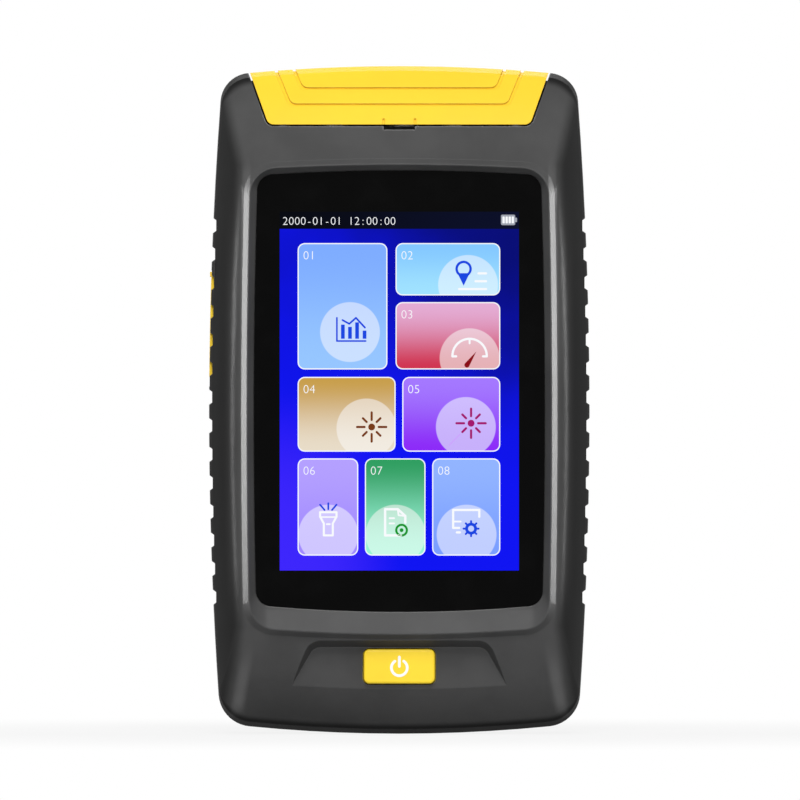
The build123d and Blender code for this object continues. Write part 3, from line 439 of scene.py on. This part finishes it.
def navy(place):
    """The bar at the top, nearly black at its left end."""
    return place.axis(0).between(picture_left, -picture_left).mix(srgb(2, 4, 14), srgb(5, 10, 38))


bar_height = 23
settle(plate(0, 0, dots_across, dots_down, 0), "picture_ground", "casing", "lens_glass",
       screen_paint("screen_blue", deep_blue))
settle(plate(0, 0, dots_across, bar_height, 1), "picture_status_bar", "casing", "lens_glass",
       screen_paint("screen_navy", navy))
white_film = plain_screen("screen_white", srgb(250, 252, 255))

tile_corner = 9.5
tile_edge = 1.5
glow_radius = 40
glow_edge = 0.7
glow_share = 0.42
# Each tile: left, top, right, bottom, colour at the top, colour at the foot, and the middle of its pale disc
tiles = {
    "trace": (24, 42, 144, 211, (126, 172, 255), (150, 198, 255), (94, 161)),
    "route": (155, 42, 295, 112, (132, 200, 255), (160, 226, 255), (252, 98)),
    "power": (155, 121, 295, 211, (228, 172, 212), (208, 50, 80), (254, 196)),
    "source": (24, 221, 155, 321, (200, 158, 74), (232, 220, 200), (116, 290)),
    "beam": (164, 221, 295, 321, (164, 120, 255), (140, 40, 248), (249, 288)),
    "torch": (24, 330, 105, 460, (180, 160, 255), (160, 136, 255), (65, 432)),
    "files": (114, 330, 195, 460, (46, 158, 96), (150, 244, 212), (155, 432)),
    "setup": (204, 330, 295, 460, (146, 180, 255), (122, 158, 255), (250, 432)),
}


def tile_paint(name, top, bottom, upper, lower, glow):
    """Tile colour from top to foot, with a pale disc behind its sign."""
    top_z = spot(0, top, 0).z
    foot_z = spot(0, bottom, 0).z
    middle = spot(*glow, 0)

    def colours(place):
        rise = place.axis(2).between(foot_z, top_z)
        body = rise.mix(srgb(*lower), srgb(*upper))
        away_x = place.axis(0) - middle.x
        away_z = place.axis(2) - middle.z
        away = (away_x * away_x + away_z * away_z) ** 0.5
        inside = 1.0 - away.between((glow_radius - glow_edge) * dot, (glow_radius + glow_edge) * dot)
        return (glow_share * inside).mix(body, [1.0, 1.0, 1.0, 1])
    return screen_paint(name, colours)


for tile, (left, top, right, bottom, upper, lower, glow) in tiles.items():
    piece = plate(left, top, right, bottom, 1, tile_corner)
    bpy.ops.object.mode_set(mode="EDIT")
    bpy.ops.mesh.select_all(action="DESELECT")
    bpy.ops.object.mode_set(mode="OBJECT")
    for face in piece.data.polygons:
        face.select = face.normal.y < -0.9
    piece.data.materials.append(white_film)
    piece.data.materials.append(tile_paint("tile_" + tile, top, bottom, upper, lower, glow))
    bpy.ops.object.mode_set(mode="EDIT")
    bpy.ops.mesh.inset(thickness=tile_edge * dot)
    piece.active_material_index = 1
    bpy.ops.object.material_slot_assign()
    bpy.ops.object.mode_set(mode="OBJECT")
    settle(piece, "tile_" + tile, "casing", "lens_glass")


# The signs on the tiles are plain pictures of what each does, drawn with round-ended strokes.
# They are white or a dark shade of their tile, and lie one film above it.
sign_layer = 2
royal_film = plain_screen("screen_royal", srgb(24, 70, 226))
brown_film = plain_screen("screen_brown", srgb(120, 58, 20))
crimson_film = plain_screen("screen_crimson", srgb(164, 20, 110))
needle_film = plain_screen("screen_needle", srgb(140, 12, 22))
green_film = plain_screen("screen_green", srgb(20, 150, 44))
pale_film = plain_screen("screen_pale", srgb(205, 165, 255))


def sign(name, strokes, film_material):
    """One piece out of the strokes of a sign."""
    settle(join(strokes), "sign_" + name, "casing", "lens_glass", film_material)


chart_left, chart_foot = 76.5, 173
chart_bars = ((82, 151), (91.5, 154), (101, 148), (111, 159))
sign("chart", [bar((chart_left, 142), (chart_left, chart_foot), 2.2, sign_layer),
               bar((chart_left, chart_foot), (115, chart_foot), 2.2, sign_layer)]
     + [plate(x, y, x + 5, 170, sign_layer, 0.4) for x, y in chart_bars]
     + outline_of([(84, 145), (93, 150), (102, 142), (114, 155)], 2.4, sign_layer), royal_film)


def map_pin(centre, radius, tip):
    """Round head with a hole and a point below it."""
    head = ring(centre, radius, 0.3 * radius, sign_layer)
    bpy.ops.object.select_all(action="DESELECT")
    bpy.ops.mesh.primitive_circle_add(vertices=3, radius=radius * 0.86 * dot, fill_type="NGON",
                                      location=spot(centre[0], centre[1] + 0.95 * radius, sign_layer),
                                      rotation=(math.pi / 2, math.pi, 0))
    bpy.ops.object.transform_apply(location=True, rotation=True, scale=True)
    point = bpy.context.object
    lowest = min(point.data.vertices, key=lambda v: v.co.z)
    lowest.co = spot(centre[0], tip, sign_layer)
    start_edit()
    thicken(film)
    return [head, point]


sign("pin", map_pin((246, 76.5), 11, 99), royal_film)
sign("pin_lines", [bar((266, 82.5), (276, 82.5), 3, sign_layer), bar((262, 93), (276, 93), 3, sign_layer),
                   bar((240, 103.5), (276, 103.5), 3, sign_layer)], white_film)
gauge_middle = (254, 193)
sign("gauge", [ring(gauge_middle, 24.5, 3, sign_layer, 64, keep=lambda d: abs(d) < 92),
               bar((231, 193.5), (236, 193.5), 3, sign_layer), bar((272, 193.5), (277, 193.5), 3, sign_layer),
               bar((254, 171), (254, 176), 2.6, sign_layer)], white_film)


def needle(tip, foot, width):
    """Tapering pointer with a round foot."""
    run = math.hypot(tip[0] - foot[0], tip[1] - foot[1])
    side = ((foot[1] - tip[1]) / run * width / 2, (tip[0] - foot[0]) / run * width / 2)
    bpy.ops.object.select_all(action="DESELECT")
    bpy.ops.mesh.primitive_circle_add(vertices=3, radius=dot, fill_type="NGON", rotation=(math.pi / 2, 0, 0))
    bpy.ops.object.transform_apply(location=True, rotation=True, scale=True)
    blade = bpy.context.object
    corners = (tip, (foot[0] + side[0], foot[1] + side[1]), (foot[0] - side[0], foot[1] - side[1]))
    for vertex, corner in zip(blade.data.vertices, corners):
        vertex.co = spot(*corner, sign_layer)
    start_edit()
    thicken(film)
    return [blade, disc(foot, width / 2, sign_layer)]


sign("needle", needle((263, 187), (250.5, 205), 7), needle_film)


def burst(centre, hub, inner, outer, short, width):
    """Round hub with eight rays, the slanting ones shorter."""
    strokes = [disc(centre, hub, sign_layer)]
    for step in range(8):
        angle = math.radians(45 * step)
        far = outer if step % 2 == 0 else short
        direction = (math.sin(angle), -math.cos(angle))
        strokes.append(bar((centre[0] + inner * direction[0], centre[1] + inner * direction[1]),
                           (centre[0] + far * direction[0], centre[1] + far * direction[1]), width, sign_layer))
    return strokes


sign("source", burst((123, 288), 4.6, 9.5, 19.5, 16.5, 3), brown_film)
sign("beam", burst((256, 283), 4.6, 9.5, 19.5, 16.5, 3), crimson_film)
sign("beam_ray", [bar((227, 312), (241, 298), 1.6, sign_layer)], pale_film)

torch_x = 65
torch_outline = [(54, 402), (76, 402), (76, 408), (71, 417), (71, 433),
                 (59, 433), (59, 417), (54, 408), (54, 402)]
sign("torch", outline_of(torch_outline, 2.8, sign_layer)
     + [bar((56, 408.5), (74, 408.5), 2, sign_layer), bar((63, 418), (67, 418), 2.4, sign_layer)], white_film)
sign("torch_rays", [bar((torch_x, 390), (torch_x, 398), 2.4, sign_layer),
                    bar((54, 392), (60, 399), 2.4, sign_layer),
                    bar((76, 392), (70, 399), 2.4, sign_layer)], royal_film)

page = [(162, 433), (141, 433), (141, 398), (158, 398), (168, 407), (168, 416)]
sign("page", outline_of(page, 3.2, sign_layer) + [bar((158, 398), (159, 406), 2.4, sign_layer),
                                                  bar((159, 406), (168, 407), 2.4, sign_layer),
                                                  bar((147, 410), (153, 410), 2.4, sign_layer),
                                                  bar((147, 417), (153, 417), 2.4, sign_layer)], white_film)
sign("page_ring", [ring((163, 426), 8.6, 3, sign_layer), disc((163, 426), 2.6, sign_layer)], green_film)

monitor = [(232, 423), (232, 399), (267, 399), (267, 408)]
sign("monitor", outline_of(monitor, 3, sign_layer) + [bar((232, 414.5), (242, 414.5), 2.4, sign_layer),
                                                      bar((232, 423), (240, 423), 3, sign_layer),
                                                      bar((237, 429), (241, 429), 3, sign_layer)], white_film)


def cog(centre, radius, teeth):
    """Ring with short teeth round it."""
    strokes = [ring(centre, radius, 0.5 * radius, sign_layer)]
    for step in range(teeth):
        angle = math.tau * step / teeth
        direction = (math.sin(angle), -math.cos(angle))
        strokes.append(bar((centre[0] + 0.8 * radius * direction[0], centre[1] + 0.8 * radius * direction[1]),
                           (centre[0] + 1.25 * radius * direction[0], centre[1] + 1.25 * radius * direction[1]),
                           0.34 * radius, sign_layer))
    return strokes


sign("cog", cog((256, 424), 8, 8), royal_film)

case_left, case_top = 296, 4
case_right, case_foot = case_left + 19, case_top + 14
cell_left, cell_pitch = case_left + 2, 4.1
sign("battery_case", [plate(case_left, case_top, case_right, case_foot, sign_layer, 2),
                      plate(case_right - 0.5, case_top + 4, case_right + 2.5, case_top + 10, sign_layer, 1)],
     plain_screen("screen_grey", srgb(160, 164, 176)))
sign("battery_cells", [plate(cell_left + cell_pitch * step, case_top + 2.5, cell_left + 3 + cell_pitch * step,
                             case_top + 11.5, sign_layer + 1, 0.6) for step in range(4)], white_film)


# The numbers on the picture are flat films too: the date and time in the bar, and one number on each tile.
# Their strokes are trimmed thinner than the font's.
stroke_trim = 0.00004


def figures(name, text, left, middle, size, pitch):
    """Plain numbers on the picture, each in its own cell, made a mesh before they are put in place."""
    made = []
    for step, figure in enumerate(text):
        if figure == " ":
            continue
        bpy.ops.object.select_all(action="DESELECT")
        bpy.ops.object.text_add()
        letter = bpy.context.object
        letter.data.body = figure
        letter.data.align_x = "CENTER"
        letter.data.align_y = "CENTER"
        letter.data.size = size * dot
        letter.data.resolution_u = 4
        letter.data.offset = -stroke_trim
        bpy.ops.object.convert(target="MESH")
        letter.rotation_euler = (math.pi / 2, 0, 0)
        letter.location = spot(left + pitch * (step + 0.5), middle, sign_layer)
        bpy.ops.object.transform_apply(location=True, rotation=True, scale=True)
        start_edit()
        thicken(film)
        made.append(letter)
    sign(name, made, white_film)


figures("clock", "2000-01-01 12:00:00", 3.5, 13, 15.5, 8.0)
for number, (tile, row) in enumerate(tiles.items(), 1):
    figures("number_" + tile, f"{number:02d}", row[0] + 7, row[1] + 17, 16.5, 8.5)


# The yellow key is a moulded cap that stands proud of the sloping recess, with a printed standby mark.
# It slides in a close guide and clicks a small switch on the main board.
key_plastic = moulded("key_yellow", (0.96, 0.68, 0.03), (0.97, 0.74, 0.12), roughness=0.36, grain=0.00045,
                      grain_depth=0.00002, specular=0.25, edge=0.0004, mottle=0.03)
switch_plastic = moulded("switch_black", (0.03, 0.03, 0.03), (0.06, 0.06, 0.06), roughness=0.5, grain=0.0005,
                         grain_depth=0.00003, specular=0.4)
dress("power_key", key_plastic)
dress("key_switch", switch_plastic)
key_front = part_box("power_key")[0].y
mark_height = 0.01367
mark_radius = 0.00190
mark_width = 0.00056
mark_ink = 0.00003
mark_gap = 32
# The round ends stand a hair above the strokes, so that no two faces lie in one plane
end_ink = 1.3 * mark_ink
end_step = 2
stroke_top = mark_height + 0.0022
stroke_foot = mark_height + 0.0003


def mark_point(x, z):
    """A point of the standby mark, in the picture's dots, so that the same strokes draw it."""
    return (x - picture_left) / dot, (picture_top - z) / dot


mark_layer = (glass_y - key_front) / film
mark = [ring(mark_point(0, mark_height), mark_radius / dot, mark_width / dot, mark_layer, 72,
             keep=lambda d: abs(d) > mark_gap, depth=mark_ink),
        bar(mark_point(0, stroke_top), mark_point(0, stroke_foot), mark_width / dot, mark_layer, mark_ink)]
for side in (-1, 1):
    angle = math.radians(mark_gap + end_step)
    reach = mark_radius - mark_width / 2
    end = mark_point(side * reach * math.sin(angle), mark_height + reach * math.cos(angle))
    mark.append(disc(end, mark_width / 2 / dot, mark_layer, 24, end_ink))
white_ink = moulded("white_ink", (0.92, 0.92, 0.9), (0.92, 0.92, 0.9), roughness=0.4, grain=0.0005,
                    grain_depth=0.00001, specular=0.4, edge=0.00005, mottle=0.02)
settle(join(mark), "standby_mark", "key", "key_yellow", white_ink)


# The dust cover is a satin yellow shell that follows the casing over its top end and turns on a steel pin.
# Two fine stepped lines and a finger tab are moulded into it.
cover_plastic = moulded("cover_yellow", (0.87, 0.565, 0.03), (0.9, 0.62, 0.08), roughness=0.45, grain=0.0005,
                        grain_depth=0.00002, specular=0.12, mottle=0.03)
dress("top_cover", cover_plastic)
for pin in ("cover_hinge_pin", "kickstand_pin"):
    dress(pin, steel)


# Under the cover a black plate carries the optical ports: nickel-plated adapters with a ceramic sleeve,
# and the lens of a work lamp.
def paint_nickel(place):
    cloud = place.noise(420.0, 3.0)
    return {"Base Color": cloud.mix([0.62, 0.59, 0.53, 1], [0.74, 0.71, 0.65, 1]), "Metallic": 1.0,
            "Roughness": 0.2 + 0.12 * cloud}


def paint_ceramic(place):
    cloud = place.noise(300.0, 3.0)
    return {"Base Color": cloud.mix([0.82, 0.81, 0.77, 1], [0.88, 0.87, 0.83, 1]),
            "Roughness": 0.25 + 0.1 * cloud}


def paint_lamp(place):
    return {"Base Color": [0.95, 0.96, 0.98, 1], "Roughness": 0.04 + 0.03 * place.noise(300.0),
            "Transmission Weight": 1.0, "IOR": 1.49}


port_y = 0.001
thread_x = -0.0135
thread_pitch = 0.00075
thread_depth = 0.00012
flange_height = 0.0034
thread_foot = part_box("lamp_lens")[0].z + flange_height + 0.0006


def paint_thread(place):
    """Nickel with a fine screw thread on the barrel above the flange."""
    across = place.axis(0) - thread_x
    back = place.axis(1) - port_y
    out = (across * across + back * back) ** 0.5
    turns = place.axis(2) * (math.tau / thread_pitch) + back.sum("ARCTAN2", back, across)
    wave = turns.sum("SINE", turns)
    barrel = out.band(0.0038, 0.0039, 0.0041, 0.0042) * place.axis(2).between(thread_foot, thread_foot + 0.0004)
    return paint_nickel(place) | {"Normal": place.node("ShaderNodeBump", None, {
        "Strength": 1.0, "Distance": thread_depth, "Height": wave * barrel})}


nickel = finish("nickel", paint_nickel)
ceramic = finish("ceramic_white", paint_ceramic)
plate_black = moulded("plate_black", (0.022, 0.022, 0.023), (0.05, 0.05, 0.05), roughness=0.5, grain=0.0004,
                      grain_depth=0.00003, specular=0.35)
dress("port_panel", plate_black)
dress("otdr_adapter", finish("nickel_thread", paint_thread))
for port in ("power_meter_adapter", "fault_locator_port"):
    dress(port, nickel)
for tip in ("otdr_sleeve", "otdr_ferrule"):
    dress(tip, ceramic)
dress("lamp_lens", finish("lamp_clear", paint_lamp))
for metal in ("panel_screws", "photodiode", "fault_locator_laser"):
    dress(metal, steel)


def paint_led(place):
    return {"Base Color": place.noise(500.0).mix([0.85, 0.8, 0.5, 1], [0.95, 0.93, 0.75, 1]), "Roughness": 0.35}


dress("lamp_led", finish("led_white", paint_led))


# A soft rubber flap covers the charging receptacle on the left side and shows through the grip notches.
# It turns on two trunnions at its foot; the receptacle behind it is drawn from steel.
rubber = moulded("flap_rubber", (0.95, 0.64, 0.035), (0.96, 0.7, 0.1), roughness=0.62, grain=0.0004,
                 grain_depth=0.00003, specular=0.25, mottle=0.04)
dress("port_flap", rubber)
dress("charging_port", steel)


# Inside are the main board with its buzzer, the battery in foam strips and the shielded optical module
# with its launch fibre. None of them shows while the casing is closed.
def paint_board(place):
    tracks = place.noise(700.0, 1.0).between(0.52, 0.56)
    return {"Base Color": tracks.mix([0.012, 0.13, 0.045, 1], [0.02, 0.2, 0.07, 1]),
            "Roughness": 0.3 + 0.1 * tracks}


dress("main_board", finish("board_green", paint_board))
dress("buzzer", switch_plastic)
battery_film = moulded("battery_blue", (0.03, 0.1, 0.32), (0.1, 0.2, 0.4), roughness=0.3, grain=0.0006,
                       grain_depth=0.00002, specular=0.5)
foam = moulded("grey_foam", (0.05, 0.05, 0.05), (0.08, 0.08, 0.08), roughness=0.9, grain=0.0006,
               grain_depth=0.0002, specular=0.2)
fibre = moulded("fibre_yellow", (0.8, 0.6, 0.05), (0.85, 0.7, 0.1), roughness=0.35, grain=0.0005,
                grain_depth=0.00002, specular=0.5)
dress("battery_pack", battery_film)
dress("battery_pads", foam)
dress("optical_module", steel)
dress("fibre_tray", plate_black)
dress("fibre_coil", fibre)
dress("board_screws", steel)


# The folding stand is moulded from the casing's plastic and turns on a steel pin out of the back.
# The four casing screws beside it are blackened steel.
# It takes the casing's finish, with its painted shade behind the front bevel.
dress("kickstand", casing_plastic)


def paint_black_zinc(place):
    cloud = place.noise(600.0, 3.0)
    return {"Base Color": cloud.mix([0.04, 0.04, 0.042, 1], [0.07, 0.07, 0.075, 1]), "Metallic": 0.8,
            "Roughness": 0.35 + 0.15 * cloud}


dress("housing_screws", finish("screw_black", paint_black_zinc))


# The stage: a pale floor, a white surround and plain soft lamps. Two tall strips behind the object, one on
# each side, draw the bright lines along the rim of the screen.
def paint_stage(name, colour, glow, clear):
    """Matt surface that glows for camera, glossy and clear rays: partly near the object, so that it keeps the
    object's shadow, and wholly white further out."""
    material = bpy.data.materials.new(name)
    material.use_nodes = True
    tree = material.node_tree
    tree.nodes.clear()
    start = Link(tree, tree.nodes.new("ShaderNodeLightPath").outputs["Is Camera Ray"])
    rays = start.socket.node
    seen = start + Link(tree, rays.outputs["Is Glossy Ray"]) + Link(tree, rays.outputs["Is Transmission Ray"])
    place = start.node("ShaderNodeTexCoord", out=3)
    away = start.node("ShaderNodeVectorMath", {"operation": "LENGTH"}, {0: place}, out=1)
    seen = seen * (glow + (1.0 - glow) * away.between(*clear))
    matt = start.node("ShaderNodeBsdfDiffuse", None, {"Color": colour})
    bright = start.node("ShaderNodeEmission", None, {"Color": [1, 1, 1, 1], "Strength": 1.0})
    blend = start.node("ShaderNodeMixShader", None, {0: seen, 1: matt, 2: bright})
    output = tree.nodes.new("ShaderNodeOutputMaterial")
    tree.links.new(blend.socket, output.inputs["Surface"])
    return material


floor_grey = [0.45, 0.45, 0.45, 1]
floor_glow = 0.86
floor_clear = (0.06, 0.22)
bpy.ops.object.select_all(action="DESELECT")
bpy.ops.mesh.primitive_plane_add(size=8.0, location=(0, 0, 0))
floor = bpy.context.object
floor.name = "floor"
floor.data.materials.append(paint_stage("floor_white", floor_grey, floor_glow, floor_clear))

world = bpy.data.worlds.new("studio")
bpy.context.scene.world = world
world.use_nodes = True
sky = world.node_tree
sky.nodes.clear()
path = sky.nodes.new("ShaderNodeLightPath")
direct = Link(sky, path.outputs["Is Camera Ray"])
shown = direct + Link(sky, path.outputs["Is Glossy Ray"]) + Link(sky, path.outputs["Is Transmission Ray"])
ambient = 0.07
white_sky = direct.node("ShaderNodeBackground", None, {"Color": [1, 1, 1, 1], "Strength": 1.0})
soft_sky = direct.node("ShaderNodeBackground", None, {"Color": [1, 1, 1, 1], "Strength": ambient})
whole_sky = direct.node("ShaderNodeMixShader", None, {0: shown, 1: soft_sky, 2: white_sky})
sky.links.new(whole_sky.socket, sky.nodes.new("ShaderNodeOutputWorld").inputs["Surface"])


def lamp(name, place, aim, width, height, power):
    """Rectangular soft lamp that points at a spot."""
    bpy.ops.object.light_add(type="AREA", location=place)
    made = bpy.context.object
    made.name = name
    made.data.shape = "RECTANGLE"
    made.data.size = width
    made.data.size_y = height
    made.data.energy = power
    made.rotation_euler = (Vector(aim) - Vector(place)).to_track_quat("-Z", "Y").to_euler()


middle = (0, 0, 0.07)
lamp("key_lamp", (0, -1.0, 1.15), middle, 0.8, 0.7, 13.5)
lamp("front_fill", (0, -1.9, 0.7), middle, 0.8, 0.4, 20)
lamp("left_strip", (-1.1, 0.14, 0.25), middle, 0.06, 1.3, 7.2)
lamp("right_strip", (1.1, 0.14, 0.25), middle, 0.06, 1.3, 7.2)
lamp("top_strip", (0, 0.15, 1.25), middle, 0.5, 0.06, 0.5)
lamp("back_lamp", (0, 1.3, 1.1), middle, 1.2, 0.8, 9)

camera_away = 4.0
frame_width = 0.1644
bpy.ops.object.camera_add(location=(0.00014, -camera_away, 0.0685), rotation=(math.pi / 2, 0, 0))
camera = bpy.context.object
camera.data.sensor_width = 36.0
camera.data.lens = camera.data.sensor_width * camera_away / frame_width
bpy.context.scene.camera = camera
bpy.context.scene.view_settings.view_transform = "Standard"
